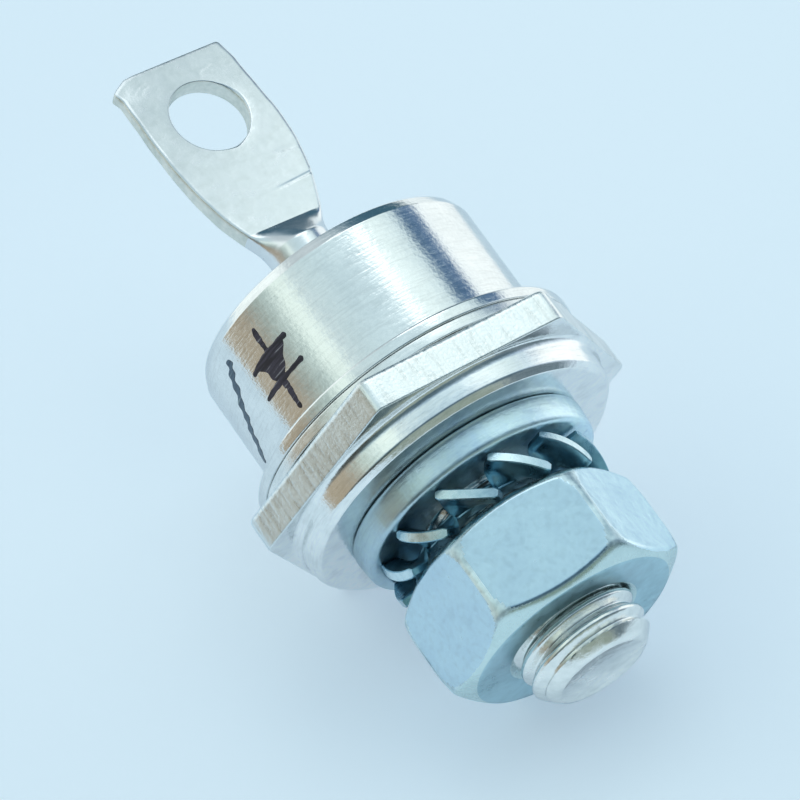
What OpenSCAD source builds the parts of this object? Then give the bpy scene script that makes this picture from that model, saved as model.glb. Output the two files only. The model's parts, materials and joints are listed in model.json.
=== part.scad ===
// Stud diode with its mounting hardware. A copper hex base with a threaded stud
// carries the junction stack, a steel can is welded over it, and a flattened tube
// terminal leaves through a glass seal. A flat washer, a toothed lock washer and
// a nut sit on the stud. Sizes are in millimetres.
//
// Every piece is drawn about the stud's axis, with the seat of the base at zero and
// the terminal upward. The finished part is then laid down as it comes to rest:
// on the lower edge of one hex flat and on one corner of the nut.

/* [Base] */
// Width of the hex across its flats
hex_af = 17.3; // [17:0.1:17.5]
// Height of the hex
hex_h = 1.8; // [1.5:0.1:2.2]
// Diameter of the round seat under the hex
seat_d = 16.6; // [15.6:0.1:16.8]
// Height of the round seat
seat_h = 1.45; // [1.2:0.05:1.8]
// Chamfer round the lower edge of the seat
seat_chamfer = 0.3; // [0.2:0.05:0.6]
// Major diameter of the thread on the stud
stud_d = 6.35; // [6:0.05:6.5]
// Pitch diameter of the thread, where the stud and the nut meet
thread_pitch_d = 5.76; // [5.4:0.02:5.8]
// Length of the stud below the seat
stud_l = 11.4; // [11:0.1:13]
// Chamfer at the end of the stud
stud_chamfer = 0.85; // [0.4:0.05:1]

/* [Can] */
// Outer diameter of the can
can_d = 14.9; // [14.4:0.1:15.4]
// Height of the can's top above the seat
can_top = 11.05; // [10.7:0.05:11.4]
// Thickness of the can's wall
can_wall = 0.5; // [0.4:0.05:0.7]
// Radius of the rounded edge at the can's top
can_round = 0.8; // [0.5:0.05:1]
// Diameter of the can's welded flange
flange_d = 17.2; // [16.6:0.1:17.2]
// Thickness of the can's welded flange
flange_t = 0.65; // [0.5:0.05:0.8]
// Thickness of the weld ring on the base
ring_t = 0.6; // [0.5:0.05:0.8]
// Diameter of the glass seal
glass_d = 7; // [6.4:0.1:8]

/* [Terminal] */
// Outer diameter of the terminal tube
tube_d = 3.3; // [3:0.1:3.6]
// Width of the flattened lug
lug_w = 6.7; // [6:0.1:7]
// Width of the lug at its tip
lug_tip_w = 6.5; // [5.8:0.1:6.8]
// Thickness of the flattened lug
lug_t = 1; // [0.8:0.1:1.4]
// Height of the lug's tip above the seat
lug_tip = 26.4; // [25.4:0.1:27]
// Diameter of the hole in the lug
lug_hole_d = 3.9; // [3.6:0.1:4.4]
// Distance from the hole's centre to the lug's tip
lug_hole_to_tip = 3.7; // [3.3:0.1:4]
// Angle between the lug's face and the upper hex flat
lug_turn = 6.4; // [0:0.1:10]

/* [Junction] */
// Diameter of the silicon die
die_d = 6; // [5:0.1:6.6]
// Thickness of the silicon die
die_t = 0.3; // [0.25:0.05:0.4]
// Thickness of each molybdenum disc
disc_t = 0.5; // [0.4:0.05:0.6]
// Thickness of each solder layer
solder_t = 0.08; // [0.05:0.01:0.12]
// Diameter of the inner copper lead
lead_d = 1.6; // [1.4:0.1:1.8]

/* [Hardware] */
// Diameter of the flat washer
washer_d = 12.7; // [12:0.1:13.4]
// Thickness of the flat washer
washer_t = 1.55; // [1.2:0.05:1.7]
// Radius of the flat washer's rounded rim
washer_round = 0.35; // [0.2:0.05:0.5]
// Diameter over the teeth of the lock washer
lock_d = 11.5; // [10.8:0.1:12]
// Number of teeth on the lock washer
tooth_count = 12; // [10:1:12]
// Width of one tooth
tooth_w = 3; // [2.6:0.05:3.1]
// Thickness of the lock washer's sheet
tooth_t = 0.5; // [0.4:0.05:0.6]
// Twist of each tooth out of the washer's plane
tooth_twist = 38; // [34:1:46]
// Width of the nut across its flats
nut_af = 11.1; // [10.9:0.1:11.2]
// Height of the nut
nut_h = 5.35; // [5:0.05:5.6]
// Turn of the nut against the hex
nut_turn = -13.2; // [-25:0.1:0]

/* [Hidden] */
$fn = 96;

// Base
stud_r = stud_d / 2;
thread_r = thread_pitch_d / 2;
hex_top = seat_h + hex_h;
pedestal_r = 4.6;
pedestal_top = hex_top + ring_t + 0.15;

// Can and seal
can_r = can_d / 2;
ring_r = flange_d / 2 - 0.05;
ring_bore_r = 5.2;
ring_top = hex_top + ring_t;
can_lid = 0.6;
seal_h = 1.7;
eyelet_wall = 0.5;
glass_r = glass_d / 2;

// Terminal
tube_r = tube_d / 2;
tube_bottom = can_top - seal_h - 0.35;
neck_z = 14.2;
fold_z = 15.9;
neck_curve_r = 3;
lug_wide_z = 22;
flare_angle = 2 * atan((lug_w / 2 - tube_r) / (lug_wide_z - neck_z));
lug_side_r = (lug_wide_z - neck_z) / sin(flare_angle) - neck_curve_r;
flare_turn_z = neck_z + neck_curve_r * sin(flare_angle);
flare_overlap = 0.3;
lug_hole_z = lug_tip - lug_hole_to_tip;
lead_r = lead_d / 2;
lead_top = neck_z - 0.6;

// Junction stack, upward from the pedestal
lower_disc_d = die_d + 1.2;
upper_disc_d = die_d - 1;
base_solder_z = pedestal_top;
lower_disc_z = base_solder_z + solder_t;
lower_solder_z = lower_disc_z + disc_t;
die_z = lower_solder_z + solder_t;
upper_solder_z = die_z + die_t;
upper_disc_z = upper_solder_z + solder_t;
lead_solder_z = upper_disc_z + disc_t;
cup_z = lead_solder_z + solder_t;
cup_r = lead_r + 0.8;
cup_floor = 0.25;
cup_h = 1;
coating_w = 0.4;

// Hardware
washer_bore_r = stud_r + 0.2;
lock_bore_r = stud_r + 0.15;
lock_ring_r = 4.3;
tooth_bite = 0.06;
lock_h = tooth_w * sin(tooth_twist) + tooth_t * cos(tooth_twist) - 2 * tooth_bite;
tooth_turn = 4.2;
nut_top = -washer_t - lock_h;
nut_bottom = nut_top - nut_h;
nut_corner_r = nut_af / sqrt(3);
nut_face_r = 0.475 * nut_af;
nut_chamfer_angle = 30;
nut_chamfer_h = (nut_corner_r - nut_face_r) * tan(nut_chamfer_angle);
nut_sink_r = stud_r + 0.2;
nut_sink_h = nut_sink_r - thread_r;
stud_free_top = nut_bottom - 0.15;

// Rest pose: the hex edge and the lowest nut corner share the floor
hex_apothem = hex_af / 2;
nut_low_y = nut_corner_r * cos(30 + nut_turn);
rest_tilt = atan((hex_apothem - nut_low_y) / (seat_h - nut_bottom - nut_chamfer_h));
rest_lift = hex_apothem * cos(rest_tilt) - seat_h * sin(rest_tilt);
tip_edge = sqrt(pow(lug_tip_w / 2, 2) - pow(lug_t / 2, 2));
tip_low_y = lug_t / 2 * cos(lug_turn) + tip_edge * sin(lug_turn);
x_front = lug_tip * cos(rest_tilt) + tip_low_y * sin(rest_tilt);
x_back = -stud_l * cos(rest_tilt) - (stud_r - stud_chamfer) * sin(rest_tilt);

module rest_pose() {
    translate([-(x_front + x_back) / 2, 0, rest_lift])
        rotate([0, -rest_tilt, 0])
            rotate([90, 0, 90])
                children();
}

module disc(d, h, z) {
    translate([0, 0, z]) cylinder(d = d, h = h);
}

module ring(outer_r, bore_r, h, z) {
    translate([0, 0, z]) difference() {
        cylinder(r = outer_r, h = h);
        translate([0, 0, -1]) cylinder(r = bore_r, h = h + 2);
    }
}

// Stud below the seat: full diameter where it is free, and the thread's pitch
// diameter inside the nut
module stud() {
    translate([0, 0, nut_top]) cylinder(r = stud_r, h = -nut_top);
    translate([0, 0, stud_free_top]) cylinder(r = thread_r, h = -stud_free_top);
    translate([0, 0, stud_chamfer - stud_l])
        cylinder(r = stud_r, h = stud_free_top + stud_l - stud_chamfer);
    translate([0, 0, -stud_l])
        cylinder(r1 = stud_r - stud_chamfer, r2 = stud_r, h = stud_chamfer);
}

// One piece of copper: seat, hex, pedestal for the stack, and stud
module base() {
    seat_r = seat_d / 2;
    color("silver") rest_pose() {
        cylinder(r1 = seat_r - seat_chamfer, r2 = seat_r, h = seat_chamfer);
        translate([0, 0, seat_chamfer]) cylinder(r = seat_r, h = seat_h - seat_chamfer);
        translate([0, 0, seat_h]) cylinder(r = hex_af / sqrt(3), h = hex_h, $fn = 6);
        translate([0, 0, hex_top]) cylinder(r = pedestal_r, h = pedestal_top - hex_top);
        stud();
    }
}

module weld_ring() {
    color("gainsboro") rest_pose() ring(ring_r, ring_bore_r, ring_t, hex_top);
}

// Half section of the can's outer form, with the rounded top edge
module can_section() {
    body_h = can_top - ring_top;
    square([flange_d / 2, flange_t]);
    square([can_r, body_h - can_round]);
    square([can_r - can_round, body_h]);
    translate([can_r - can_round, body_h - can_round]) circle(r = can_round);
}

// Drawn steel cap: flange, wall, lid, and an eyelet collar for the glass
module can() {
    room_top = can_top - can_lid;
    color("lightgray") rest_pose() difference() {
        translate([0, 0, ring_top]) rotate_extrude() intersection() {
            can_section();
            square([flange_d, can_top]);
        }
        difference() {
            translate([0, 0, ring_top - 1])
                cylinder(r = can_r - can_wall, h = room_top - ring_top + 1);
            translate([0, 0, can_top - seal_h])
                cylinder(r = glass_r + eyelet_wall, h = seal_h);
        }
        translate([0, 0, can_top - seal_h - 1]) cylinder(r = glass_r, h = seal_h + 2);
    }
}

module glass_seal() {
    color("darkslategray") rest_pose() ring(glass_r, tube_r, seal_h, can_top - seal_h);
}

// Thickness of the terminal against its height: round tube, then pressed flat
module lug_side_section() {
    polygon([
        [-tube_r, neck_z], [tube_r, neck_z],
        [lug_t / 2, fold_z], [lug_t / 2, lug_tip],
        [-lug_t / 2, lug_tip], [-lug_t / 2, fold_z]
    ]);
}

// Half width of the terminal against its height: the flare leaves the tube in one
// arc, meets the lug's side in another, and the lug narrows a little to its tip
module lug_front_section() {
    difference() {
        translate([0, neck_z]) square([lug_w / 2, flare_turn_z - neck_z]);
        translate([tube_r + neck_curve_r, neck_z]) circle(r = neck_curve_r);
    }
    intersection() {
        translate([lug_w / 2 - lug_side_r, lug_wide_z]) circle(r = lug_side_r);
        translate([0, flare_turn_z - flare_overlap])
            square([lug_w, lug_wide_z - flare_turn_z + flare_overlap]);
    }
    polygon([
        [0, lug_wide_z], [lug_w / 2, lug_wide_z], [lug_tip_w / 2, lug_tip], [0, lug_tip]
    ]);
}

// Tube through the glass, flared and pressed flat into a lug with one hole
module terminal() {
    color("silver") rest_pose() rotate([0, 0, lug_turn]) difference() {
        union() {
            translate([0, 0, tube_bottom]) cylinder(r = tube_r, h = neck_z - tube_bottom);
            intersection() {
                rotate([90, 0, 90])
                    linear_extrude(height = 2 * lug_w, center = true) lug_side_section();
                rotate_extrude() lug_front_section();
            }
        }
        translate([0, 0, tube_bottom - 1]) cylinder(r = lead_r, h = lead_top - tube_bottom + 1);
        translate([0, 0, lug_hole_z])
            rotate([90, 0, 0]) cylinder(d = lug_hole_d, h = 3 * lug_t, center = true);
    }
}

// Copper lead from the cup up into the terminal tube, which is pressed onto it
module internal_lead() {
    lead_bottom = cup_z + cup_floor;
    color("peru") rest_pose() disc(lead_d, lead_top - lead_bottom, lead_bottom);
}

module contact_cup() {
    color("sandybrown") rest_pose() translate([0, 0, cup_z]) difference() {
        cylinder(r = cup_r, h = cup_h);
        translate([0, 0, cup_floor]) cylinder(r = lead_r, h = cup_h);
    }
}

module lead_solder() {
    color("slategray") rest_pose() disc(2 * cup_r, solder_t, lead_solder_z);
}

module upper_disc() {
    color("dimgray") rest_pose() disc(upper_disc_d, disc_t, upper_disc_z);
}

module upper_solder() {
    color("slategray") rest_pose() disc(upper_disc_d, solder_t, upper_solder_z);
}

module die() {
    color("midnightblue") rest_pose() disc(die_d, die_t, die_z);
}

// Silicone bead that seals the edge of the die
module junction_coating() {
    color("ivory") rest_pose()
        ring(die_d / 2 + coating_w, die_d / 2, solder_t + die_t, lower_solder_z);
}

module lower_solder() {
    color("slategray") rest_pose() disc(die_d, solder_t, lower_solder_z);
}

module lower_disc() {
    color("dimgray") rest_pose() disc(lower_disc_d, disc_t, lower_disc_z);
}

module base_solder() {
    color("slategray") rest_pose() disc(lower_disc_d, solder_t, base_solder_z);
}

// Half section of the flat washer, with its rim rounded on both faces
module washer_section() {
    rim_w = washer_d / 2 - washer_bore_r;
    translate([washer_bore_r, -washer_t]) square([rim_w - washer_round, washer_t]);
    translate([washer_bore_r, washer_round - washer_t])
        square([rim_w, washer_t - 2 * washer_round]);
    for (z = [-washer_round, washer_round - washer_t])
        translate([washer_d / 2 - washer_round, z]) circle(r = washer_round);
}

module flat_washer() {
    color("lightsteelblue") rest_pose() rotate_extrude() washer_section();
}

// One tooth along x, cut round at its end while flat and then twisted
module tooth() {
    root_r = lock_ring_r - 0.4;
    rotate([-tooth_twist, 0, 0]) intersection() {
        translate([root_r, -tooth_w / 2, -tooth_t / 2]) cube([lock_d / 2, tooth_w, tooth_t]);
        cylinder(d = lock_d, h = 2 * tooth_t, center = true);
    }
}

// Stamped ring whose outer teeth are twisted to bite the nut and the washer
module lock_washer() {
    mid_z = -washer_t - lock_h / 2;
    color("lightsteelblue") rest_pose() translate([0, 0, mid_z]) {
        ring(lock_ring_r, lock_bore_r, tooth_t, -tooth_t / 2);
        intersection() {
            for (i = [0 : tooth_count - 1])
                rotate([0, 0, tooth_turn + i * 360 / tooth_count]) tooth();
            cylinder(d = lock_d + 1, h = lock_h, center = true);
        }
    }
}

// Half section that trims the nut's corners, with its cones run out past them
module nut_section() {
    trim_r = nut_corner_r + 1;
    trim_h = (trim_r - nut_face_r) * tan(nut_chamfer_angle);
    polygon([
        [0, nut_bottom], [nut_face_r, nut_bottom],
        [trim_r, nut_bottom + trim_h], [trim_r, nut_top - trim_h],
        [nut_face_r, nut_top], [0, nut_top]
    ]);
}

// Nut with a countersink at both ends of its thread
module nut() {
    color("lightsteelblue") rest_pose() difference() {
        intersection() {
            rotate([0, 0, nut_turn]) translate([0, 0, nut_bottom])
                cylinder(r = nut_corner_r, h = nut_h, $fn = 6);
            rotate_extrude() nut_section();
        }
        translate([0, 0, nut_bottom - 1]) cylinder(r = thread_r, h = nut_h + 2);
        translate([0, 0, nut_bottom])
            cylinder(r1 = nut_sink_r, r2 = thread_r, h = nut_sink_h);
        translate([0, 0, nut_top - nut_sink_h])
            cylinder(r1 = thread_r, r2 = nut_sink_r, h = nut_sink_h);
    }
}

base();
weld_ring();
can();
glass_seal();
terminal();
internal_lead();
contact_cup();
lead_solder();
upper_disc();
upper_solder();
die();
junction_coating();
lower_solder();
lower_disc();
base_solder();
flat_washer();
lock_washer();
nut();
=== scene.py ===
"""Looks of the stud diode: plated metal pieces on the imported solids, lying on a pale floor.

Pieces are modelled in millimetres about the stud's axis: z runs from the seat of the base
to the terminal, and y is the side that faces up. OWN carries them into the row frame.
"""

import json
import math
from collections import namedtuple

import bmesh
import bpy
from mathutils import Matrix, Quaternion, Vector


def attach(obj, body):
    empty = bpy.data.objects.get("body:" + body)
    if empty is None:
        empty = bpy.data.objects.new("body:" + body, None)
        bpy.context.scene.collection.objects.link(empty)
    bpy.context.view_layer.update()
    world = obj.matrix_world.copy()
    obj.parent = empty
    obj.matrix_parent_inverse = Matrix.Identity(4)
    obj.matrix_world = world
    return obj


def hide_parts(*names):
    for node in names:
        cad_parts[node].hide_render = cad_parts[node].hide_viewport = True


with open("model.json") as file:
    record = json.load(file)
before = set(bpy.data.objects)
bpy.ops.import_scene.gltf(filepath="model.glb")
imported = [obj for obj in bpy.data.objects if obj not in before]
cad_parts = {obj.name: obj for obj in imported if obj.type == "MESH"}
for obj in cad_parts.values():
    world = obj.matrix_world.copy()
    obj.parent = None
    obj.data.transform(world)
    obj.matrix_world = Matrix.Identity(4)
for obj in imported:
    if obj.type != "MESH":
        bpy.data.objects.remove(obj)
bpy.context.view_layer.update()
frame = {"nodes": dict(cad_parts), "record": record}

MM = 0.001
TAU = 2 * math.pi
SEGMENTS = 256

# Base, in millimetres
HEX_AF, HEX_H = 17.3, 1.8
SEAT_R, SEAT_H, SEAT_CHAMFER = 8.3, 1.45, 0.3
STUD_R, STUD_END, STUD_CHAMFER = 3.175, -11.4, 0.85
THREAD_PITCH, THREAD_DEPTH = 0.907, 0.38
HEX_TOP = SEAT_H + HEX_H

# Can and weld ring
CAN_R, CAN_TOP, CAN_WALL = 7.45, 11.05, 0.5
RIM_RISE, RIM_COINED_H, RIM_COINED_W, RIM_W = 0.25, 0.55, 0.22, 0.7
FLANGE_R, FLANGE_T, RING_R, RING_T, RING_BORE = 8.6, 0.65, 8.55, 0.6, 5.2
GLASS_R, LID_T, SEAL_H, EYELET_WALL = 3.5, 0.6, 1.7, 0.5
RING_TOP = HEX_TOP + RING_T

# Terminal
TUBE_R, TUBE_BOTTOM, NECK_Z, SLOPE_Z, FOLD_Z = 1.65, 9.0, 14.2, 14.45, 15.9
LUG_W, LUG_TIP_W, LUG_T, LUG_TIP, LUG_WIDE_Z, LUG_TURN = 6.7, 6.5, 1.0, 26.4, 22.0, 6.4
LUG_HOLE_R, LUG_HOLE_Z, NECK_CURVE_R = 1.95, 22.7, 3.0
FLARE_ANGLE = 2 * math.atan((LUG_W / 2 - TUBE_R) / (LUG_WIDE_Z - NECK_Z))
LUG_SIDE_R = (LUG_WIDE_Z - NECK_Z) / math.sin(FLARE_ANGLE) - NECK_CURVE_R
FLARE_TURN_Z = NECK_Z + NECK_CURVE_R * math.sin(FLARE_ANGLE)

# Washers and nut
WASHER_R, WASHER_BORE, WASHER_T, WASHER_ROUND = 6.35, 3.375, 1.55, 0.35
LOCK_R, LOCK_RING_R, LOCK_BORE = 5.75, 4.3, 3.325
TOOTH_COUNT, TOOTH_W, TOOTH_T, TOOTH_TWIST, TOOTH_TURN = 12, 2.95, 0.5, 38.0, 4.2
NUT_AF, NUT_TOP, NUT_BOTTOM, NUT_TURN = 11.1, -3.671, -9.021, -13.2
NUT_BORE, NUT_SINK, NUT_FACE = 2.88, 3.375, 5.27
LOCK_MID = (NUT_TOP - WASHER_T) / 2

# The stud's axis in the row frame, from the mount at its free end
STUD_MOUNT_Z = -9.8605
stud_mount = next(m for m in frame["record"]["mounts"] if m["name"] == "stud_end")
axis_z = -Vector(stud_mount["axis"]).normalized()
axis_x = Vector((0, 1, 0))
axis_y = axis_z.cross(axis_x)
seat_centre = Vector(stud_mount["pos_m"]) - axis_z * STUD_MOUNT_Z * MM
OWN = Matrix.Translation(seat_centre) @ Matrix(
    [[axis_x[i] * MM, axis_y[i] * MM, axis_z[i] * MM] for i in range(3)]
).to_4x4()


# Material nodes

class Shader:
    """Node tree of one material or world, with short calls to add nodes."""

    def __init__(self, owner):
        owner.use_nodes = True
        self.tree = owner.node_tree
        self.tree.nodes.clear()

    def node(self, kind, inputs=None, **settings):
        made = self.tree.nodes.new(kind)
        for key, value in settings.items():
            setattr(made, key, value)
        for key, value in (inputs or {}).items():
            if isinstance(value, bpy.types.NodeSocket):
                self.tree.links.new(value, made.inputs[key])
            else:
                made.inputs[key].default_value = value
        return made

    def math(self, operation, *values):
        made = self.node("ShaderNodeMath", dict(enumerate(values)), operation=operation)
        return made.outputs[0]

    def weighted(self, first, share, second):
        """Mean of two values in which the first has the given share."""
        rest = self.math("MULTIPLY", second, 1 - share)
        return self.math("MULTIPLY_ADD", first, share, rest)

    def own(self, stretch=(1, 1, 1), turn=(0, 0, 0)):
        """Millimetres about the stud's axis, turned and with each axis scaled."""
        place = self.node("ShaderNodeAttribute", attribute_name="own_mm").outputs["Vector"]
        inputs = {"Vector": place, "Scale": stretch, "Rotation": turn}
        return self.node("ShaderNodeMapping", inputs).outputs[0]

    def noise(self, vector, scale, detail=4.0):
        inputs = {"Vector": vector, "Scale": scale, "Detail": detail}
        return self.node("ShaderNodeTexNoise", inputs).outputs["Fac"]

    def ramp(self, factor, stops):
        made = self.node("ShaderNodeValToRGB", {"Fac": factor})
        points = made.color_ramp.elements
        while len(points) < len(stops):
            points.new(0.5)
        for point, (position, colour) in zip(points, stops):
            point.position = position
            point.color = (*colour, 1)
        return made.outputs["Color"]

    def span(self, value, inside, outside):
        made = self.node("ShaderNodeMapRange", {
            "Value": value, "From Min": inside[0], "From Max": inside[1],
            "To Min": outside[0], "To Max": outside[1],
        })
        return made.outputs["Result"]

    def mix(self, factor, first, second, blend="MIX"):
        made = self.node("ShaderNodeMix", data_type="RGBA", blend_type=blend)
        for key, value in (("Factor", factor), ("A", first), ("B", second)):
            socket = next(s for s in made.inputs if s.name == key and s.enabled)
            if isinstance(value, bpy.types.NodeSocket):
                self.tree.links.new(value, socket)
            else:
                socket.default_value = value if key == "Factor" else (*value, 1)
        return next(s for s in made.outputs if s.enabled)

    def finish(self, shader_node, output="ShaderNodeOutputMaterial"):
        end = self.node(output)
        self.tree.links.new(shader_node.outputs[0], end.inputs[0])


EDGE_TINT = (0.8, 0.82, 0.84)
CLOUDS_PER_MM, FINE_DETAIL, MARK_SHADE, BLOTCH = 0.6, 6.0, 0.55, 0.6
Marks = namedtuple("Marks", "stretch turn depth_um darken")
# Painted shade: a tint that darkens a part towards one side, in place of light that falls unevenly
# on it
PaintedShade = namedtuple("PaintedShade", "direction start end stain")


def metal(name, pale, deep, roughness, grain, grain_um, marks=None, painted_shade=None):
    """Plated metal: cloudy tint, uneven polish, fine grain and drawn or milled marks.

    grain is per millimetre and grain_um its depth. Marks have the stretch of their texture, its
    turn in radians, their depth and how far they darken. The last argument paints shade: the
    tint darkens towards one side as painted shade, standing in for light that falls unevenly.
    It has a direction, the places along it in millimetres between which the tint changes, and
    the shade tint at its end.
    """
    material = bpy.data.materials.new(name)
    shader = Shader(material)
    place = shader.own()
    cloud = shader.noise(place, CLOUDS_PER_MM)
    fine = shader.noise(place, grain, FINE_DETAIL)
    height = shader.math("MULTIPLY", fine, grain_um)
    polish = shader.weighted(cloud, 0.5, fine)
    tint = shader.ramp(shader.weighted(fine, 0.4, cloud), [(0.36, deep), (0.6, pale)])
    if marks:
        lines = shader.noise(shader.own(marks.stretch, marks.turn), 1.0)
        height = shader.math("MULTIPLY_ADD", lines, marks.depth_um, height)
        polish = shader.weighted(polish, 0.55, lines)
        worn = shader.span(lines, (0.34, 0.52), (marks.darken, 0.0))
        tint = shader.mix(worn, tint, tuple(MARK_SHADE * c for c in deep))
    # Painted shade: the tint darkens along the direction, with a cloudy edge
    if painted_shade:
        vectors = {0: place, 1: painted_shade.direction}
        along = shader.node("ShaderNodeVectorMath", vectors, operation="DOT_PRODUCT")
        blotch = BLOTCH * (painted_shade.end - painted_shade.start)
        spread = shader.math("MULTIPLY_ADD", cloud, blotch, along.outputs["Value"])
        inside = (painted_shade.start + blotch / 2, painted_shade.end + blotch / 2)
        shaded = shader.span(spread, inside, (0, 1))
        tint = shader.mix(shaded, tint, painted_shade.stain, "MULTIPLY")
    bump = shader.node("ShaderNodeBump", {"Height": height, "Strength": 1.0, "Distance": MM * MM})
    shader.finish(shader.node("ShaderNodeBsdfPrincipled", {
        "Base Color": tint,
        "Metallic": 1.0,
        "Specular Tint": (*EDGE_TINT, 1),
        "Roughness": shader.span(polish, (0.34, 0.66), roughness),
        "Normal": bump.outputs[0],
    }))
    return material


def marker(name, deep, pale, worn):
    """Marker ink, scratched through to a paler tone in thin lines round the can."""
    material = bpy.data.materials.new(name)
    shader = Shader(material)
    lines = shader.noise(shader.own((0.6, 0.6, 7.0)), 1.0)
    shader.finish(shader.node("ShaderNodeBsdfPrincipled", {
        "Base Color": shader.ramp(lines, [
            (0.4, deep), (0.56, pale), (0.63, pale), (0.68, worn),
        ]),
        "Roughness": shader.span(lines, (0.3, 0.7), (0.3, 0.55)),
    }))
    return material


def coated(name, pale, deep, roughness, metallic=0.0):
    """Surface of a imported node, with a cloudy tint and uneven gloss."""
    material = bpy.data.materials.new(name)
    shader = Shader(material)
    cloud = shader.noise(shader.node("ShaderNodeTexCoord").outputs["Object"], CLOUDS_PER_METRE)
    shader.finish(shader.node("ShaderNodeBsdfPrincipled", {
        "Base Color": shader.ramp(cloud, [(0.35, deep), (0.62, pale)]),
        "Roughness": shader.span(cloud, (0.3, 0.7), roughness),
        "Metallic": metallic,
    }))
    return material


AROUND, ALONG, STRAIGHT = (0.9, 0.9, 9.0), (4.6, 4.6, 0.6), (0, 0, 0)
LEFTWARD = (1.0, 0.0, 0.0)
can_nickel = metal(
    "can_nickel", (0.87, 0.88, 0.87), (0.76, 0.78, 0.78),
    roughness=(0.07, 0.2), grain=5.0, grain_um=9.0, marks=Marks(AROUND, STRAIGHT, 8.0, 0.15),
)
flange_nickel = metal(
    "flange_nickel", (0.92, 0.93, 0.92), (0.78, 0.8, 0.79),
    roughness=(0.2, 0.36), grain=3.5, grain_um=12.0, marks=Marks(AROUND, STRAIGHT, 6.0, 0.2),
)
# The hex is painted darker and bluer past 4.6 mm towards its leftward side, as painted shade
hex_nickel = metal(
    "hex_nickel", (0.94, 0.96, 0.95), (0.84, 0.86, 0.84),
    roughness=(0.24, 0.4), grain=6.0, grain_um=16.0, marks=Marks(ALONG, (0.25, 0.2, 0), 26.0, 0.35),
    painted_shade=PaintedShade(LEFTWARD, 4.6, 5.4, (0.86, 0.91, 0.95)),
)
seat_nickel = metal(
    "seat_nickel", (0.97, 0.97, 0.96), (0.85, 0.87, 0.86),
    roughness=(0.1, 0.22), grain=3.5, grain_um=10.0, marks=Marks(AROUND, STRAIGHT, 5.0, 0.2),
)
stud_nickel = metal(
    "stud_nickel", (0.95, 0.95, 0.92), (0.78, 0.8, 0.78),
    roughness=(0.12, 0.3), grain=2.4, grain_um=26.0,
)
# The lug is painted darker towards its tip and its leftward edge, as painted shade
lug_nickel = metal(
    "lug_nickel", (0.875, 0.885, 0.895), (0.785, 0.805, 0.815),
    roughness=(0.16, 0.3), grain=2.0, grain_um=12.0,
    marks=Marks((1.4, 1.4, 3.0), (0.4, 0.3, 0.2), 3.0, 0.08),
    painted_shade=PaintedShade((0.9, 0.0, 1.0), 12.5, 26.0, (0.68, 0.71, 0.73)),
)
sheared_nickel = metal(
    "sheared_nickel", (0.9, 0.9, 0.85), (0.62, 0.65, 0.6),
    roughness=(0.4, 0.6), grain=3.0, grain_um=14.0,
)
# The nut's zinc is painted darker everywhere except its rightmost side, as painted shade
zinc = metal(
    "zinc", (0.78, 0.95, 1.0), (0.71, 0.87, 0.94),
    roughness=(0.14, 0.28), grain=4.0, grain_um=7.0,
    marks=Marks((2.6, 2.6, 2.6), (0.3, 0.2, 0.1), 5.0, 0.15),
    painted_shade=PaintedShade(LEFTWARD, -2.6, -1.9, (0.75, 0.785, 0.825)),
)
zinc_chamfer = metal(
    "zinc_chamfer", (0.68, 0.83, 0.83), (0.59, 0.73, 0.73),
    roughness=(0.2, 0.36), grain=3.0, grain_um=10.0,
)
zinc_worn = metal(
    "zinc_worn", (0.84, 0.98, 1.0), (0.38, 0.5, 0.56),
    roughness=(0.34, 0.55), grain=3.4, grain_um=24.0,
)
# The nut's faces are painted darker as painted shade, for the shadowed floor they face
zinc_face_painted_shade = metal(
    "zinc_face_painted_shade", (0.51, 0.71, 0.78), (0.36, 0.54, 0.6),
    roughness=(0.25, 0.4), grain=2.2, grain_um=12.0,
)
# The flat washer is painted darker towards its leftward side, as painted shade
zinc_washer = metal(
    "zinc_washer", (0.8, 0.98, 1.0), (0.67, 0.84, 0.95),
    roughness=(0.26, 0.42), grain=3.2, grain_um=20.0, marks=Marks(AROUND, STRAIGHT, 6.0, 0.2),
    painted_shade=PaintedShade(LEFTWARD, 0.5, 6.3, (0.64, 0.66, 0.68)),
)
# The lock washer's ring and teeth are painted dark as painted shade, for the shade among the
# washers and the nut; the end strips keep a paler zinc
zinc_teeth = metal(
    "zinc_teeth", (0.35, 0.58, 0.69), (0.17, 0.32, 0.4),
    roughness=(0.22, 0.42), grain=2.2, grain_um=14.0,
)
zinc_edge = metal(
    "zinc_edge", (0.68, 0.83, 0.88), (0.42, 0.58, 0.64),
    roughness=(0.18, 0.36), grain=3.0, grain_um=14.0,
)
ink = marker("ink", (0.012, 0.01, 0.022), (0.045, 0.035, 0.06), (0.3, 0.28, 0.3))
ink_blue = marker("ink_blue", (0.05, 0.09, 0.145), (0.09, 0.15, 0.22), (0.3, 0.38, 0.42))


# Meshes

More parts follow.
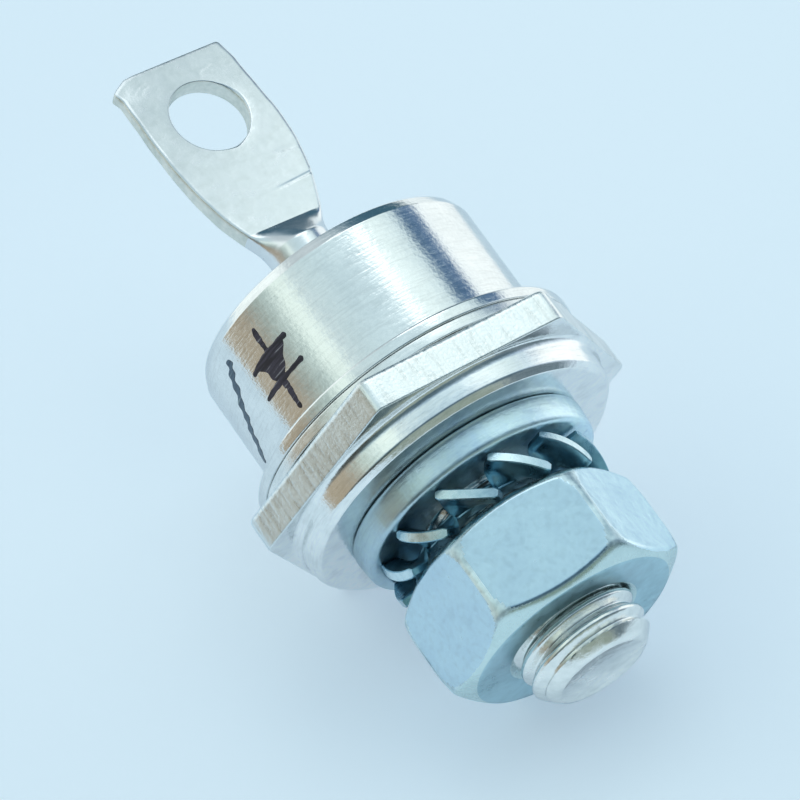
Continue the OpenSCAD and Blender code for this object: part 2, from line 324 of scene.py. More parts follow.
def add_piece(name, points, faces, material, slot, replaces=(), sharp=35.0):
    """One mesh from points in millimetres about the stud's axis, riding on the part."""
    mesh = bpy.data.meshes.new(name)
    mesh.from_pydata([OWN @ Vector(p) for p in points], [], faces)
    own = mesh.attributes.new("own_mm", "FLOAT_VECTOR", "POINT")
    own.data.foreach_set("vector", [c for p in points for c in p])
    shape = bmesh.new()
    shape.from_mesh(mesh)
    bmesh.ops.remove_doubles(shape, verts=shape.verts, dist=MM * 0.0005)
    bmesh.ops.recalc_face_normals(shape, faces=shape.faces)
    shape.to_mesh(mesh)
    shape.free()
    mesh.shade_smooth()
    mesh.set_sharp_from_angle(angle=math.radians(sharp))
    piece = bpy.data.objects.new(name, mesh)
    bpy.context.scene.collection.objects.link(piece)
    mesh.materials.append(material)
    normals = piece.modifiers.new("weighted_normals", "WEIGHTED_NORMAL")
    normals.keep_sharp = True
    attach(piece, "root")
    if replaces:
        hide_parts(*replaces)
    return piece


def ease(t):
    t = min(1, max(0, t))
    return t * t * (3 - 2 * t)


def corner_curve(start, corner, end, steps):
    """Points of the curve that rounds a corner between two places."""
    curve = []
    for k in range(steps + 1):
        t = k / steps
        curve.append(tuple(start * (1 - t) ** 2 + corner * 2 * t * (1 - t) + end * t * t))
    return curve


def rounded(corners, steps=6):
    """Closed profile of (radius, height, rounding) corners, each rounded as asked."""
    profile = []
    for i, (r, z, rounding) in enumerate(corners):
        corner = Vector((r, z))
        if not rounding:
            profile.append(tuple(corner))
            continue
        back = Vector(corners[i - 1][:2]) - corner
        ahead = Vector(corners[(i + 1) % len(corners)][:2]) - corner
        turn = back.angle(ahead)
        reach = min(rounding / math.tan(turn / 2), 0.49 * back.length, 0.49 * ahead.length)
        start, end = corner + back.normalized() * reach, corner + ahead.normalized() * reach
        profile += corner_curve(start, corner, end, steps)
    return profile


def loft(rings, closed=True, cap=False):
    """Points and faces through rings of equal length; closed joins the last ring to the first."""
    count = len(rings[0])
    points = [p for ring in rings for p in ring]
    faces = []
    for k in range(len(rings) if closed else len(rings) - 1):
        a, b = k * count, (k + 1) % len(rings) * count
        for i in range(count):
            j = (i + 1) % count
            faces.append((a + i, a + j, b + j, b + i))
    if cap:
        faces.append(tuple(range(count)))
        faces.append(tuple(range(len(points) - count, len(points))))
    return points, faces


def sheet(rows):
    """Points and faces of an open sheet through rows of equal length."""
    count = len(rows[0])
    faces = [
        (k * count + i, k * count + i + 1, (k + 1) * count + i + 1, (k + 1) * count + i)
        for k in range(len(rows) - 1) for i in range(count - 1)
    ]
    return [p for row in rows for p in row], faces


def joined(parts):
    """Points and faces of several meshes as one."""
    points, faces = [], []
    for part_points, part_faces in parts:
        start = len(points)
        points += part_points
        faces += [tuple(start + v for v in face) for face in part_faces]
    return points, faces


def lathe(profile):
    """Closed profile of (radius, height) turned about the axis."""
    return loft([
        [(r * math.cos(a), r * math.sin(a), z) for r, z in profile]
        for a in (TAU * k / SEGMENTS for k in range(SEGMENTS))
    ])


def hexagon(af, turn, rounding, per_flat=16, per_corner=6):
    """Outline of a hexagon with rounded corners, corner by corner."""
    corner_r = af / math.sqrt(3)
    corners = [
        Vector((corner_r * math.cos(a), corner_r * math.sin(a)))
        for a in (math.radians(turn + 60 * k) for k in range(6))
    ]
    outline = []
    for i, corner in enumerate(corners):
        ahead = corners[(i + 1) % 6]
        reach = (ahead - corner).normalized() * rounding
        before = (corners[i - 1] - corner).normalized() * rounding
        outline += corner_curve(corner + before, corner, corner + reach, per_corner)
        start, end = corner + reach, ahead - reach
        for k in range(1, per_flat):
            outline.append(tuple(start.lerp(end, k / per_flat)))
    return outline


def build_base():
    """Hex with crisp rounded edges over the filleted round seat with its draft and chamfer."""
    inner, corner_round, low_round, top_round = 6.0, 0.32, 0.1, 0.36
    draft, fillet_w, fillet_h, overlap, facing_down = 0.08, 0.32, 0.5, 0.1, -0.9
    profile = rounded([
        (inner, SEAT_H, 0), (HEX_AF / 2, SEAT_H, low_round),
        (HEX_AF / 2, HEX_TOP, top_round), (inner, HEX_TOP, 0),
    ], 8)
    rings = [[(x, y, z) for x, y in hexagon(2 * r, 0, corner_round)] for r, z in profile]
    hex_piece = add_piece("base_hex", *loft(rings), hex_nickel, "nickel_base", ["base"])
    hex_piece.data.materials.append(seat_nickel)
    for face in hex_piece.data.polygons:
        face.material_index = int(face.normal.dot(axis_z) < facing_down)
    bore = STUD_R - 0.5
    curve = [
        (SEAT_R + fillet_w * (1 - math.cos(a)), SEAT_H - fillet_h * (1 - math.sin(a)), 0)
        for a in (math.radians(10 * k) for k in range(10))
    ]
    seat = rounded([
        (bore, 0, 0), (SEAT_R - SEAT_CHAMFER - draft, 0, 0.12),
        (SEAT_R - draft, SEAT_CHAMFER, 0.25),
        *curve, (SEAT_R, SEAT_H + overlap, 0), (bore, SEAT_H + overlap, 0),
    ])
    add_piece("base_seat", *lathe(seat), seat_nickel, "nickel_base")


def thread_radius(turn, z):
    """Radius of the right-hand thread at an angle in turns and a height."""
    crest = 0.12
    phase = abs((z / THREAD_PITCH - turn) % 1 - 0.5) * 2
    return STUD_R - THREAD_DEPTH * ease((phase - crest) / (1 - crest))


def build_stud():
    """Stud with its thread, run out into a curved chamfer round the flat end with its fine rim."""
    row_step, columns, step_h, step_w, tip_r = 0.035, 192, 0.03, 0.06, 0.05
    face_r, curve = STUD_R - STUD_CHAMFER, 0.72

    def ring(z, radius_at):
        polar = [(radius_at(i), TAU * i / columns) for i in range(columns)]
        return [(r * math.cos(a), r * math.sin(a), z) for r, a in polar]

    rings = []
    for k in range(int((-STUD_END - step_h) / row_step) + 1):
        z = -k * row_step
        limit = face_r + (STUD_R - face_r) * min(1, (z - STUD_END) / STUD_CHAMFER) ** curve
        rings.append(ring(z, lambda i: min(thread_radius(i / columns, z), limit)))
    for r, z in (
        (face_r, STUD_END + step_h), (face_r - step_w, STUD_END), (face_r - 2 * step_w, STUD_END),
        (face_r - 3 * step_w, STUD_END + step_h), (tip_r, STUD_END + step_h),
    ):
        rings.append(ring(z, lambda i: r))
    add_piece("stud_thread", *loft(rings, closed=False, cap=True), stud_nickel, "nickel_base")


def build_can():
    """Weld ring, and the drawn can with its flange and coined rim."""
    ring = rounded([
        (RING_BORE, HEX_TOP, 0), (RING_R, HEX_TOP, 0.08),
        (RING_R, RING_TOP, 0.12), (RING_BORE, RING_TOP, 0),
    ])
    add_piece("weld_ring_turned", *lathe(ring), flange_nickel, "nickel_can", ["weld_ring"])
    flange_top, rim_top = RING_TOP + FLANGE_T, CAN_TOP + RIM_RISE
    inside_r, eyelet_r = CAN_R - CAN_WALL, GLASS_R + EYELET_WALL
    can = rounded([
        (inside_r, RING_TOP, 0), (FLANGE_R, RING_TOP, 0.1), (FLANGE_R, flange_top, 0.16),
        (CAN_R, flange_top, 0.3), (CAN_R, rim_top - RIM_COINED_H, 0.2),
        (CAN_R - RIM_COINED_W, rim_top, 0.12), (CAN_R - RIM_W, rim_top, 0.12),
        (CAN_R - RIM_W - RIM_RISE, CAN_TOP, 0.2), (GLASS_R, CAN_TOP, 0.1),
        (GLASS_R, CAN_TOP - SEAL_H, 0), (eyelet_r, CAN_TOP - SEAL_H, 0),
        (eyelet_r, CAN_TOP - LID_T, 0), (inside_r, CAN_TOP - LID_T, 0),
    ], 10)
    add_piece("can_drawn", *lathe(can), can_nickel, "nickel_can", ["can"])


def lug_half_width(z):
    """Half width of the terminal: tube, flare in two arcs, then a slight taper to the tip."""
    if z <= NECK_Z:
        return TUBE_R
    if z <= FLARE_TURN_Z:
        return TUBE_R + NECK_CURVE_R - math.sqrt(NECK_CURVE_R ** 2 - (z - NECK_Z) ** 2)
    if z <= LUG_WIDE_Z:
        return LUG_W / 2 - LUG_SIDE_R + math.sqrt(LUG_SIDE_R ** 2 - (LUG_WIDE_Z - z) ** 2)
    return LUG_W / 2 + (LUG_TIP_W - LUG_W) / 2 * (z - LUG_WIDE_Z) / (LUG_TIP - LUG_WIDE_Z)


def edge_point(angle, depth, half_t, squareness):
    """Point of the rounded edge: how far out, and how far through the thickness."""
    c, s = math.cos(angle), math.sin(angle)
    out = depth * abs(c) ** (2 / squareness)
    return out, math.copysign(half_t * abs(s) ** (2 / squareness), s)


LUG_EDGE, LUG_SQUARE, PER_EDGE, PER_FACE = 0.24, 4.4, 14, 18
EDGE_ANGLES = [math.pi * (k / PER_EDGE - 0.5) for k in range(PER_EDGE + 1)]


def lug_ring(z):
    """Cross-section of the terminal: round tube low down, sloping to the flat above the fold."""
    press = min(1, max(0, (z - NECK_Z) / (FOLD_Z - NECK_Z)))
    slope = min(1, max(0, (z - SLOPE_Z) / (FOLD_Z - SLOPE_Z)))
    half_w = lug_half_width(z)
    depth = LUG_EDGE + (half_w - LUG_EDGE) * (1 - press ** 2)
    flat = half_w - depth

    def half_thick(x, share):
        tube = TUBE_R * math.sqrt(max(0, 1 - (x / half_w) ** 2))
        edge = max(0, abs(x) - half_w + LUG_EDGE) / LUG_EDGE
        plate = LUG_T / 2 * max(0, 1 - edge ** LUG_SQUARE) ** (1 / LUG_SQUARE)
        return tube + (plate - tube) * share

    ring = []
    for side in (1, -1):
        share = {1: slope, -1: press}
        for angle in EDGE_ANGLES[:-1]:
            out, y = edge_point(angle, depth, 1.0, 2 + (LUG_SQUARE - 2) * press)
            x, front = side * (flat + out), math.copysign(1, side * y)
            ring.append((x, front * half_thick(x, share[front]), z))
        for k in range(PER_FACE):
            x = side * flat * (1 - 2 * k / PER_FACE)
            ring.append((x, side * half_thick(x, share[side]), z))
    return ring


def lug_plate(bottom):
    """Upper lug as a plate round its slightly long hole, from its lower rim up to the tip."""
    half_t, lean_x, hole_long, side_steps, tip_steps, squarer = LUG_T / 2, 0.17, 1.07, 32, 30, 4
    flat = lug_half_width(bottom) - LUG_EDGE
    side_top, tip_left, tip_right = 25.2, (2.13, 26.12), (-2.66, 26.22)
    tip_facing, right_turns = 87.5, (87.5, 105, 125, 145, 165, 178)
    corner = [
        ((3.27, 25.4), 0), ((3.33, 25.6), 6), ((3.34, 25.63), 28), ((3.32, 25.66), 50),
        ((3.18, 25.76), 57), ((2.63, 26.07), 72), (tip_left, 85),
    ]
    left, right = [], []
    for k in range(side_steps + 1):
        z = bottom + (side_top - bottom) * k / side_steps
        lean = lean_x * ease((z - bottom) / (side_top - bottom))
        left.append((lug_half_width(z) - LUG_EDGE + lean, z))
        right.insert(0, (lean + LUG_EDGE - lug_half_width(z), z))
    top = [
        tuple(Vector(tip_left).lerp(Vector(tip_right), k / tip_steps)) for k in range(1, tip_steps)
    ]
    stations = [(p, 0) for p in left] + corner + [(p, tip_facing) for p in top]
    stations += [(tip_right, turn) for turn in right_turns] + [(p, 180) for p in right]
    sweep = []
    for (x, z), degrees in stations:
        nx, nz = math.cos(math.radians(degrees)), math.sin(math.radians(degrees))
        square = LUG_SQUARE if degrees in (0, 180) else LUG_SQUARE + squarer
        profile = [edge_point(a, LUG_EDGE, half_t, square) for a in EDGE_ANGLES]
        sweep.append([(x + nx * out, y, z + nz * out) for out, y in profile])
    rim = left + [p for p, _ in corner] + top + [tip_right] + right
    rim += [(-flat * (1 - 2 * k / PER_FACE), bottom) for k in range(1, PER_FACE)]
    lip, reach_in, steps = 0.06, 0.6, 24
    worn_lip, worn_at, burr, burr_at = 0.16, (-0.98, 0.2), 0.1, (-0.14, -0.99)
    lanes = []
    for x, z in rim:
        reach = math.hypot(x, z - LUG_HOLE_Z)
        ux, uz = x / reach, (z - LUG_HOLE_Z) / reach
        hole = LUG_HOLE_R / math.hypot(ux, uz / hole_long)
        front = lip + worn_lip * max(0, ux * worn_at[0] + uz * worn_at[1]) ** 8
        front += burr * max(0, ux * burr_at[0] + uz * burr_at[1]) ** 50
        bore = rounded([
            (reach_in, half_t, 0), (0, half_t, front), (0, -half_t, lip), (reach_in, -half_t, 0),
        ], 5)
        start = hole + reach_in
        out = [start + (reach - start) * k / steps for k in range(1, steps + 1)]
        lane = [(r, half_t) for r in reversed(out)]
        lane += [(hole + r, y) for r, y in bore] + [(r, -half_t) for r in out]
        lanes.append([(r * ux, y, LUG_HOLE_Z + r * uz) for r, y in lane])
    return joined([sheet(sweep), sheet(lanes + lanes[:1])])


Crease = namedtuple("Crease", "start end depth width")
LUG_CREASES = (
    Crease((-0.3, 17.6), (-2.8, 17.76), -0.034, 0.08),
    Crease((-1.6, 19.55), (-3.0, 19.32), -0.03, 0.12),
    Crease((-0.5, 25.1), (-1.4, 25.3), -0.014, 0.06),
    Crease((2.9, 25.7), (2.15, 25.58), -0.014, 0.07),
    Crease((2.75, 25.42), (2.2, 25.4), -0.014, 0.07),
)
WORN_SHARE, WORN_X, WORN_OVER_X, WORN_Z, WORN_OVER_Z = 0.66, 1.7, 1.4, 16.8, 6.5
LUG_BOW, LUG_SKEW, CURL, CURL_AT, CURL_AREA = 0.1, 0.02 / 3.5, -0.04, (3.4, 25.6), 0.5
WAVE, WAVE_X, WAVE_PER_MM, WOBBLE, WOBBLE_X, WOBBLE_PER_MM = 0.015, 2.2, 2.1, 0.008, 1.8, 3.4


def crease_depth(mark, x, z):
    """Depth of a thin mark across the lug, which runs from its start past its end and fades."""
    t = (x - mark.start[0]) / (mark.end[0] - mark.start[0])
    if not 0 < t < 1.3:
        return 0.0
    middle = mark.start[1] + (mark.end[1] - mark.start[1]) * t
    return mark.depth * min(1, 3 * t) * math.exp(-((z - middle) / mark.width) ** 2)


def lug_bend(point):
    """Small bends of the handled lug: a bow, marks, a pressed corner and one worn side."""
    x, y, z = point
    if y < 0:
        y *= 1 - WORN_SHARE * ease((x - WORN_X) / WORN_OVER_X) * ease((z - WORN_Z) / WORN_OVER_Z)
    rise = ease((z - FOLD_Z) / 2)
    bow = LUG_BOW * math.sin((z - FOLD_Z) / (LUG_TIP - FOLD_Z) * math.pi)
    bow += LUG_SKEW * x * (z - LUG_HOLE_Z)
    curl = CURL * math.exp(-((x - CURL_AT[0]) ** 2 + (z - CURL_AT[1]) ** 2) / CURL_AREA)
    marks = sum(crease_depth(mark, x, z) for mark in LUG_CREASES)
    wavy = WAVE * math.sin(WAVE_PER_MM * z + 1) * ease((x - WAVE_X) / 1.2)
    x += rise * WOBBLE * math.sin(WOBBLE_PER_MM * z) * ease((abs(x) - WOBBLE_X) / 1.2)
    return x, y + rise * (bow + curl + marks + wavy), z


def build_terminal():
    """Flattened tube that leaves the seal, flares, folds and ends in the lug with its hole."""
    bottom, tube_mid, fold_rows, lug_rows = 19.2, 12.0, 16, 70
    heights = [TUBE_BOTTOM, tube_mid, NECK_Z]
    heights += [NECK_Z + (FOLD_Z - NECK_Z) * k / fold_rows for k in range(1, fold_rows + 1)]
    heights += [FOLD_Z + (bottom - FOLD_Z) * k / lug_rows for k in range(1, lug_rows + 1)]
    rings = [lug_ring(z) for z in heights]
    points, faces = loft(rings, closed=False)
    faces.append(tuple(range(len(rings[0]))))
    points, faces = joined([(points, faces), lug_plate(bottom)])
    turn = Matrix.Rotation(math.radians(LUG_TURN), 3, "Z")
    points = [tuple(turn @ Vector(lug_bend(p))) for p in points]
    lug = add_piece(
        "terminal_lug", points, faces, lug_nickel, "tinned_terminal", ["terminal"], 24.0,
    )
    lug.data.materials.append(sheared_nickel)
    bore_reach, bore_level, side_level, to_own = 1.1 * LUG_HOLE_R, 0.7, 0.75, OWN.inverted()
    for face in lug.data.polygons:
        x, _, z = to_own @ face.center
        near_hole = math.hypot(x, z - LUG_HOLE_Z) < bore_reach
        in_bore = near_hole and abs(face.normal.dot(axis_y)) < bore_level
        on_side = z > FOLD_Z and abs(face.normal.dot(axis_x)) > side_level
        face.material_index = int(in_bore or on_side)


def tooth(index):
    """One tooth, twisted out of the ring's plane just past its root, with its end strip last."""
    azimuth = math.radians(TOOTH_TURN + 360 * index / TOOTH_COUNT)
    root_r, twist_over, steps, across_steps = LOCK_RING_R - 0.3, 0.8, 14, 16
    root_share, end_curve, end_thin, end_push = 0.72, 1.3, 0.8, 0.04
    bow, uneven = 0.13 * math.cos(azimuth), math.sin(2.3 * index)
    across = [k / across_steps - 0.5 for k in range(across_steps + 1)]
    section = [(u, 0.5 if abs(u) < 0.5 else 0.3) for u in across]
    section += [(u, -v) for u, v in reversed(section)]

    def ring(k, thin=1.0, push=0.0):
        out = root_r + (LOCK_R - root_r) * k / steps
        grown = ease((out - root_r) / twist_over)
        twist = math.radians(TOOTH_TWIST - 1 + uneven) * grown
        width = TOOTH_W * (root_share + (1 - root_share) * grown)
        made = []
        for u, v in section:
            w = u * width
            t = v * TOOTH_T * thin - bow * grown * (1 - 6 * u * u)
            y = w * math.cos(twist) + t * math.sin(twist)
            z = t * math.cos(twist) - w * math.sin(twist)
            x = out + push - end_curve * w * w / (2 * LOCK_R) * k / steps
            made.append((
                x * math.cos(azimuth) - y * math.sin(azimuth),
                x * math.sin(azimuth) + y * math.cos(azimuth),
                LOCK_MID + z,
            ))
        return made

    rings = [ring(k) for k in range(steps + 1)] + [ring(steps, end_thin, end_push)]
    points, faces = loft(rings, closed=False)
    count = len(section)
    faces.append(tuple(range(count)))
    last = len(points) - count
    ends = [
        (last + i, last + i + 1, last + count - 2 - i, last + count - 1 - i)
        for i in range(across_steps)
    ]
    return points, faces + ends, len(ends)


def build_washers():
    """Flat washer with rolled rim, and the lock washer's ring with its twisted teeth."""
    draft = 0.12
    washer = rounded([
        (WASHER_BORE, -WASHER_T, 0.12), (WASHER_R - draft, -WASHER_T, WASHER_ROUND),
        (WASHER_R, 0, WASHER_ROUND), (WASHER_BORE, 0, 0.12),
    ])
    add_piece("flat_washer_rolled", *lathe(washer), zinc_washer, "zinc_hardware", ["flat_washer"])
    half = TOOTH_T / 2
    ring = rounded([
        (LOCK_BORE, LOCK_MID - half, 0.08), (LOCK_RING_R, LOCK_MID - half, 0.08),
        (LOCK_RING_R, LOCK_MID + half, 0.08), (LOCK_BORE, LOCK_MID + half, 0.08),
    ], 3)
    parts, bright = [lathe(ring)], []
    count = len(parts[0][1])
    for i in range(TOOTH_COUNT):
        points, faces, end_count = tooth(i)
        parts.append((points, faces))
        count += len(faces)
        bright += range(count - end_count, count)
    # Ring and teeth take the dark zinc of painted shade; the end strips get the paler edge zinc
    lock = add_piece(
        "lock_washer_toothed", *joined(parts), zinc_teeth, "zinc_teeth", ["lock_washer"],
    )
    lock.data.materials.append(zinc_edge)
    for index in bright:
        lock.data.polygons[index].material_index = 1


def soft_min(a, b, width):
    """Smaller of two lengths, blended where they come within the width of each other."""
    near = max(0, 1 - abs(a - b) / width)
    return min(a, b) - near * near * width / 4


def nut_radius(from_flat, from_face):
    """Reach of the nut's side at an angle from the nearest flat and a depth below a face."""
    slope, edge_soft = math.tan(math.radians(30)), 0.42
    corner_soft, end_soft, end_over = 0.28, 0.7, 1.8
    flat = NUT_AF / 2 / math.cos(from_flat)
    next_flat = NUT_AF / 2 / math.cos(math.radians(60) - abs(from_flat))
    side = soft_min(flat, next_flat, corner_soft + end_soft * ease(1 - from_face / end_over))
    return soft_min(side, NUT_FACE + from_face / slope, edge_soft)


def build_nut():
    """Hex nut chamfered on both faces, with soft corners and edges and countersunk thread."""
    per_flat, dense_h, dense_rows, middle_rows, lip, face_inset = 40, 1.4, 40, 6, 0.1, 0.3
    face_level, chamfer_level, worn_angle = 0.97, 0.62, 7
    sink_h = NUT_SINK - NUT_BORE
    angles = []
    for k in range(6 * per_flat):
        u = 2 * (k % per_flat) / per_flat - 1
        from_flat = math.radians(30) * (1.5 * u - 0.5 * u ** 3)
        angles.append((math.radians(NUT_TURN + 30 + 60 * (k // per_flat)) + from_flat, from_flat))
    face = [
        (NUT_BORE, sink_h), (NUT_SINK - lip, lip), (NUT_SINK + lip, 0), (NUT_FACE - face_inset, 0),
    ]
    plain_h = NUT_TOP - NUT_BOTTOM - 2 * dense_h
    depths = [dense_h * k / dense_rows for k in range(dense_rows + 1)]
    depths += [dense_h + plain_h * k / middle_rows for k in range(1, middle_rows // 2 + 1)]

    def rings(face_z, inward):
        reaches = [([r] * len(angles), depth) for r, depth in face]
        reaches += [([nut_radius(off, depth) for _, off in angles], depth) for depth in depths]
        return [
            [(r * math.cos(a), r * math.sin(a), face_z + inward * depth)
             for r, (a, _) in zip(reach, angles)]
            for reach, depth in reaches
        ]

    loops = rings(NUT_BOTTOM, 1) + list(reversed(rings(NUT_TOP, -1)))
    nut = add_piece("nut_plated", *loft(loops), zinc, "zinc_hardware", ["nut"], 50.0)
    for finish in (zinc_face_painted_shade, zinc_chamfer, zinc_worn):
        nut.data.materials.append(finish)
    for face in nut.data.polygons:
        level = abs(face.normal.dot(axis_z))
        bearing = math.degrees(math.atan2(face.normal.dot(axis_y), face.normal.dot(axis_x)))
        off_flat = abs((bearing - NUT_TURN) % 60 - 30)
        # Faces across the axis take the face zinc, painted darker as painted shade
        if level > face_level:
            face.material_index = 1
        elif level > chamfer_level:
            face.material_index = 2
        elif off_flat > worn_angle:
            face.material_index = 3


INK_T = 0.012


def ink_patch(rows):
    """Thin ink on the can from rows of (degrees round the can, height) pairs."""
    ink_r = CAN_R + INK_T
    return sheet([
        [(ink_r * math.cos(math.radians(a)), ink_r * math.sin(math.radians(a)), z) for a, z in row]
        for row in rows
    ])


def ink_stroke(start, end, width, blobs=0, steps=60):
    """Hand-drawn stroke with rounded ends between two (degrees, height) places on the can."""
    per_mm = 180 / (math.pi * CAN_R)
    a = Vector((start[0] / per_mm, start[1]))
    b = Vector((end[0] / per_mm, end[1]))
    side = Vector((a.y - b.y, b.x - a.x)).normalized()
    rows = []
    for k in range(steps + 1):
        t = k / steps
        far = min(t, 1 - t) * (b - a).length
        taper = math.sqrt(max(0.02, 1 - max(0, 1 - far / (width / 2)) ** 2))
        if blobs:
            swell = 0.72 + 0.28 * math.sin(TAU * blobs * t + math.sin(9 * t)) * (1 - 0.4 * t)
            drift = 0.05 * math.sin(TAU * blobs * t / 2)
        else:
            swell = 0.85 + 0.13 * math.sin(9 * t + start[0]) + 0.07 * math.sin(31 * t + end[1])
            drift = 0.03 * math.sin(5 * t + start[1])
        half = width / 2 * taper * swell
        edges = [a.lerp(b, t) + side * (drift + half * s) for s in (-1, 0, 1)]
        rows.append([(p.x * per_mm, p.y) for p in edges])
    return ink_patch(rows)


def build_ink():
    """Generic diode sign drawn along the can, and one plain blobby stroke beside it."""
    stroke_w, base_z, point_z, middle, spread, rows = 0.32, 8.4, 6.5, 34.6, 7.6, 24
    line_w, line_blobs, line_steps = 0.56, 8, 120
    triangle = []
    for k in range(rows + 1):
        t = k / rows
        half = spread * (1 - t) ** 1.25 + 0.9 + 0.5 * math.sin(14 * t)
        centre = middle + 0.5 * (1 - t) + 0.5 * math.sin(6 * t)
        z = base_z + (point_z - base_z) * t
        triangle.append([(centre + half * s, z) for s in (-1, -0.5, 0, 0.5, 1)])
    sign = [
        ink_patch(triangle),
        ink_stroke((36.4, 9.8), (35.4, 8.2), stroke_w),
        ink_stroke((46, 8.45), (24.2, 8.24), stroke_w * 1.1),
        ink_stroke((46.2, 7.0), (23, 6.84), stroke_w),
        ink_stroke((34.8, 7.2), (34, 5.25), stroke_w),
    ]
    add_piece("ink_sign", *joined(sign), ink, "nickel_can")
    line = ink_stroke((18.2, 9.9), (-3.6, 5.6), line_w, line_blobs, line_steps)
    add_piece("ink_line", *line, ink_blue, "nickel_can")


build_base()
build_stud()
build_can()
build_terminal()
build_washers()
build_nut()
build_ink()

# Nodes that stay as packed: the seal, and the stack inside the can
CLOUDS_PER_METRE = 900
copper = coated("copper", (0.75, 0.42, 0.28), (0.6, 0.32, 0.2), (0.25, 0.45), 1.0)
solder = coated("solder", (0.55, 0.56, 0.58), (0.42, 0.43, 0.45), (0.4, 0.6), 1.0)
molybdenum = coated("molybdenum", (0.5, 0.5, 0.51), (0.38, 0.38, 0.4), (0.35, 0.5), 1.0)
glass = coated("seal_glass", (0.05, 0.11, 0.11), (0.02, 0.05, 0.05), (0.05, 0.12))
silicon = coated("silicon", (0.14, 0.15, 0.18), (0.09, 0.1, 0.12), (0.1, 0.2), 0.8)
silicone = coated("silicone", (0.8, 0.79, 0.74), (0.7, 0.69, 0.63), (0.4, 0.6))
kept_nodes = {
    "glass_seal": glass, "die": silicon, "junction_coating": silicone,
    "internal_lead": copper, "contact_cup": copper,
    "lead_solder": solder, "upper_solder": solder, "lower_solder": solder, "base_solder": solder,
    "upper_disc": molybdenum, "lower_disc": molybdenum,
}
for node_name, material in kept_nodes.items():
    mesh = frame["nodes"][node_name].data
    mesh.materials.clear()
    mesh.materials.append(material)


# Floor, light and camera

FLOOR_PALE, FLOOR_DEEP = (0.765, 0.825, 0.84), (0.75, 0.81, 0.835)
FLOOR_GLOW, BACKDROP = (0.237, 0.289, 0.353), (0.62, 0.8, 0.92)
TABLE_EDGE = (0.28, 0.35, 0.31)
LAMP_AIM, LAMP_DISTANCE, LAMP_SIZE, LAMP_RADIANCE = (0.45, -0.22, 0.87), 0.8, 0.4, 0.8


def build_floor():
    """Small sheet of pale paper under the part; the room beyond its sides shows in the metal."""
    back, left, right = 0.3, 0.053, -0.0385
    mesh = bpy.data.meshes.new("floor")
    corners = [(-back, right, 0), (back, right, 0), (back, left, 0), (-back, left, 0)]
    mesh.from_pydata(corners, [], [(0, 1, 2, 3)])
    floor = bpy.data.objects.new("floor", mesh)
    bpy.context.scene.collection.objects.link(floor)
    material = bpy.data.materials.new("floor")
    shader = Shader(material)
    place = shader.node("ShaderNodeTexCoord").outputs["Object"]
    tint = shader.ramp(shader.noise(place, 9.0, 2.0), [(0.3, FLOOR_DEEP), (0.7, FLOOR_PALE)])
    paper = shader.node("ShaderNodeBsdfDiffuse", {"Color": tint})
    glow = shader.node("ShaderNodeEmission", {"Color": (*FLOOR_GLOW, 1), "Strength": 1.0})
    shader.finish(shader.node("ShaderNodeAddShader", {0: paper.outputs[0], 1: glow.outputs[0]}))
    mesh.materials.append(material)


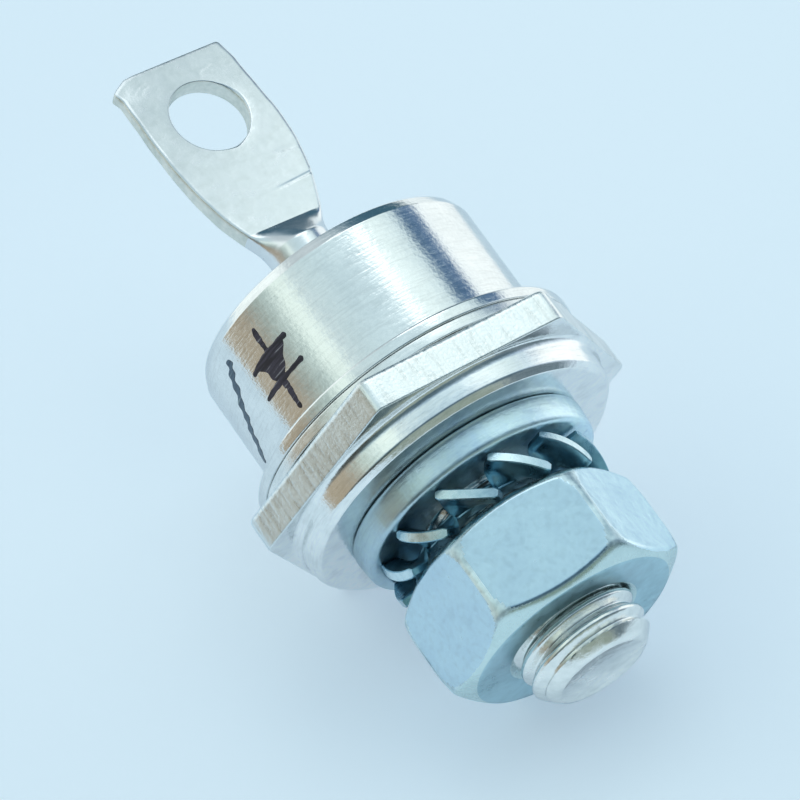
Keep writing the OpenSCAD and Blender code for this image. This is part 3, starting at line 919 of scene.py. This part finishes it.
def build_world():
    """Pale room seen in the metal: bands by height round the part's length, left to right.

    Left is a wooden table, right a bright window with a dark frame; the room above the far
    end and the camera's side is darker. share runs from 0 on the left over the top to 1.
    """
    strip_x, low_x, far_x, table_x = (0.13, 0.18), (0.21, 0.13), (0.45, 0.58), (-0.82, -0.9)
    world = bpy.data.worlds.new("room")
    bpy.context.scene.world = world
    shader = Shader(world)
    toward = shader.node("ShaderNodeTexCoord").outputs["Generated"]
    split = shader.node("ShaderNodeSeparateXYZ", {0: toward}).outputs
    upward = shader.math("MAXIMUM", split["Z"], 0.0)
    share = shader.math("DIVIDE", shader.math("ARCTAN2", upward, split["Y"]), math.pi)
    bands = shader.ramp(share, [
        (0.0, (0.42, 0.37, 0.28)), (0.05, (0.41, 0.37, 0.29)), (0.09, (0.385, 0.41, 0.365)),
        (0.135, (0.42, 0.51, 0.48)), (0.18, (0.53, 0.66, 0.64)), (0.235, (0.94, 1.1, 1.04)),
        (0.262, (0.96, 1.12, 1.06)), (0.3, (0.68, 0.83, 0.86)), (0.36, (0.64, 0.81, 0.85)),
        (0.43, (0.63, 0.81, 0.87)), (0.55, (0.69, 0.88, 0.95)), (0.6, (0.93, 1.1, 1.13)),
        (0.66, (0.94, 1.11, 1.12)), (0.7, (0.89, 1.06, 1.08)), (0.765, (0.74, 0.91, 0.96)),
        (0.82, (0.68, 0.85, 0.95)), (0.88, (1.05, 1.15, 1.18)), (0.93, (1.12, 1.21, 1.22)),
    ])
    strip = shader.ramp(share, [
        (0.755, (1, 1, 1)), (0.797, (0.115, 0.195, 0.31)),
        (0.86, (0.125, 0.205, 0.34)), (0.887, (1, 1, 1)),
    ])
    bands = shader.mix(shader.span(split["X"], strip_x, (0, 1)), bands, strip, "MULTIPLY")
    low = shader.ramp(share, [
        (0.075, (1, 1, 1)), (0.115, (1.28, 1.3, 1.28)), (0.17, (1.3, 1.3, 1.3)), (0.23, (1, 1, 1)),
    ])
    bands = shader.mix(shader.span(split["X"], low_x, (0, 1)), bands, low, "MULTIPLY")
    far = shader.ramp(share, [
        (0.28, (1.05, 1.16, 1.16)), (0.35, (0.6, 0.7, 0.74)), (0.5, (0.6, 0.7, 0.75)),
        (0.6, (0.36, 0.48, 0.55)), (0.68, (0.065, 0.15, 0.215)),
        (0.93, (0.045, 0.125, 0.185)), (0.97, (1.05, 1.15, 1.17)),
    ])
    bands = shader.mix(shader.span(split["X"], far_x, (0, 1)), bands, far)
    near = shader.ramp(shader.span(split["X"], (-1, 0), (0, 1)), [
        (0.1, (0.62, 0.64, 0.62)), (0.18, (0.14, 0.18, 0.21)), (0.5, (0.12, 0.16, 0.19)),
        (0.72, (0.5, 0.57, 0.67)), (0.9, (0.94, 0.97, 1.0)), (0.95, (1, 1, 1)),
    ])
    room = shader.mix(1.0, bands, near, "MULTIPLY")
    room = shader.mix(shader.span(split["X"], table_x, (0, 1)), room, TABLE_EDGE)
    seen = shader.node("ShaderNodeBackground", {"Color": (*BACKDROP, 1), "Strength": 1.0})
    lit = shader.node("ShaderNodeBackground", {"Color": room, "Strength": 1.0})
    path = shader.node("ShaderNodeLightPath").outputs["Is Camera Ray"]
    shader.finish(
        shader.node("ShaderNodeMixShader", {0: path, 1: lit.outputs[0], 2: seen.outputs[0]}),
        "ShaderNodeOutputWorld",
    )


def build_lamp(name, aim, distance, size, radiance):
    """Square soft lamp that shines on the part from the aimed direction."""
    lamp = bpy.data.lights.new(name, "AREA")
    lamp.shape, lamp.size = "SQUARE", size
    lamp.energy = radiance * math.pi * size * size
    lamp_object = bpy.data.objects.new(name, lamp)
    bpy.context.scene.collection.objects.link(lamp_object)
    direction = Vector(aim).normalized()
    lamp_object.location = direction * distance
    lamp_object.rotation_euler = direction.to_track_quat("Z", "Y").to_euler()


def build_camera():
    """Camera of the photograph: a long lens, looking down on the part from the stud's side."""
    azimuth, elevation, roll = math.radians(148.324), math.radians(47.772), math.radians(2.508)
    distance, target = 235.734 * MM, Vector((-1.0864, -0.3065, 8.0)) * MM
    back = Vector((
        math.cos(azimuth) * math.cos(elevation),
        math.sin(azimuth) * math.cos(elevation),
        math.sin(elevation),
    ))
    data = bpy.data.cameras.new("camera")
    data.sensor_width, data.lens = 36.0, 225.0
    data.clip_start, data.clip_end = 0.01, 10.0
    camera = bpy.data.objects.new("camera", data)
    bpy.context.scene.collection.objects.link(camera)
    camera.location = target + back * distance
    camera.rotation_mode = "QUATERNION"
    camera.rotation_quaternion = (-back).to_track_quat("-Z", "Y") @ Quaternion((0, 0, 1), -roll)
    bpy.context.scene.camera = camera


build_floor()
build_world()
build_lamp("overhead", LAMP_AIM, LAMP_DISTANCE, LAMP_SIZE, LAMP_RADIANCE)
build_camera()
bpy.context.scene.view_settings.view_transform = "Standard"
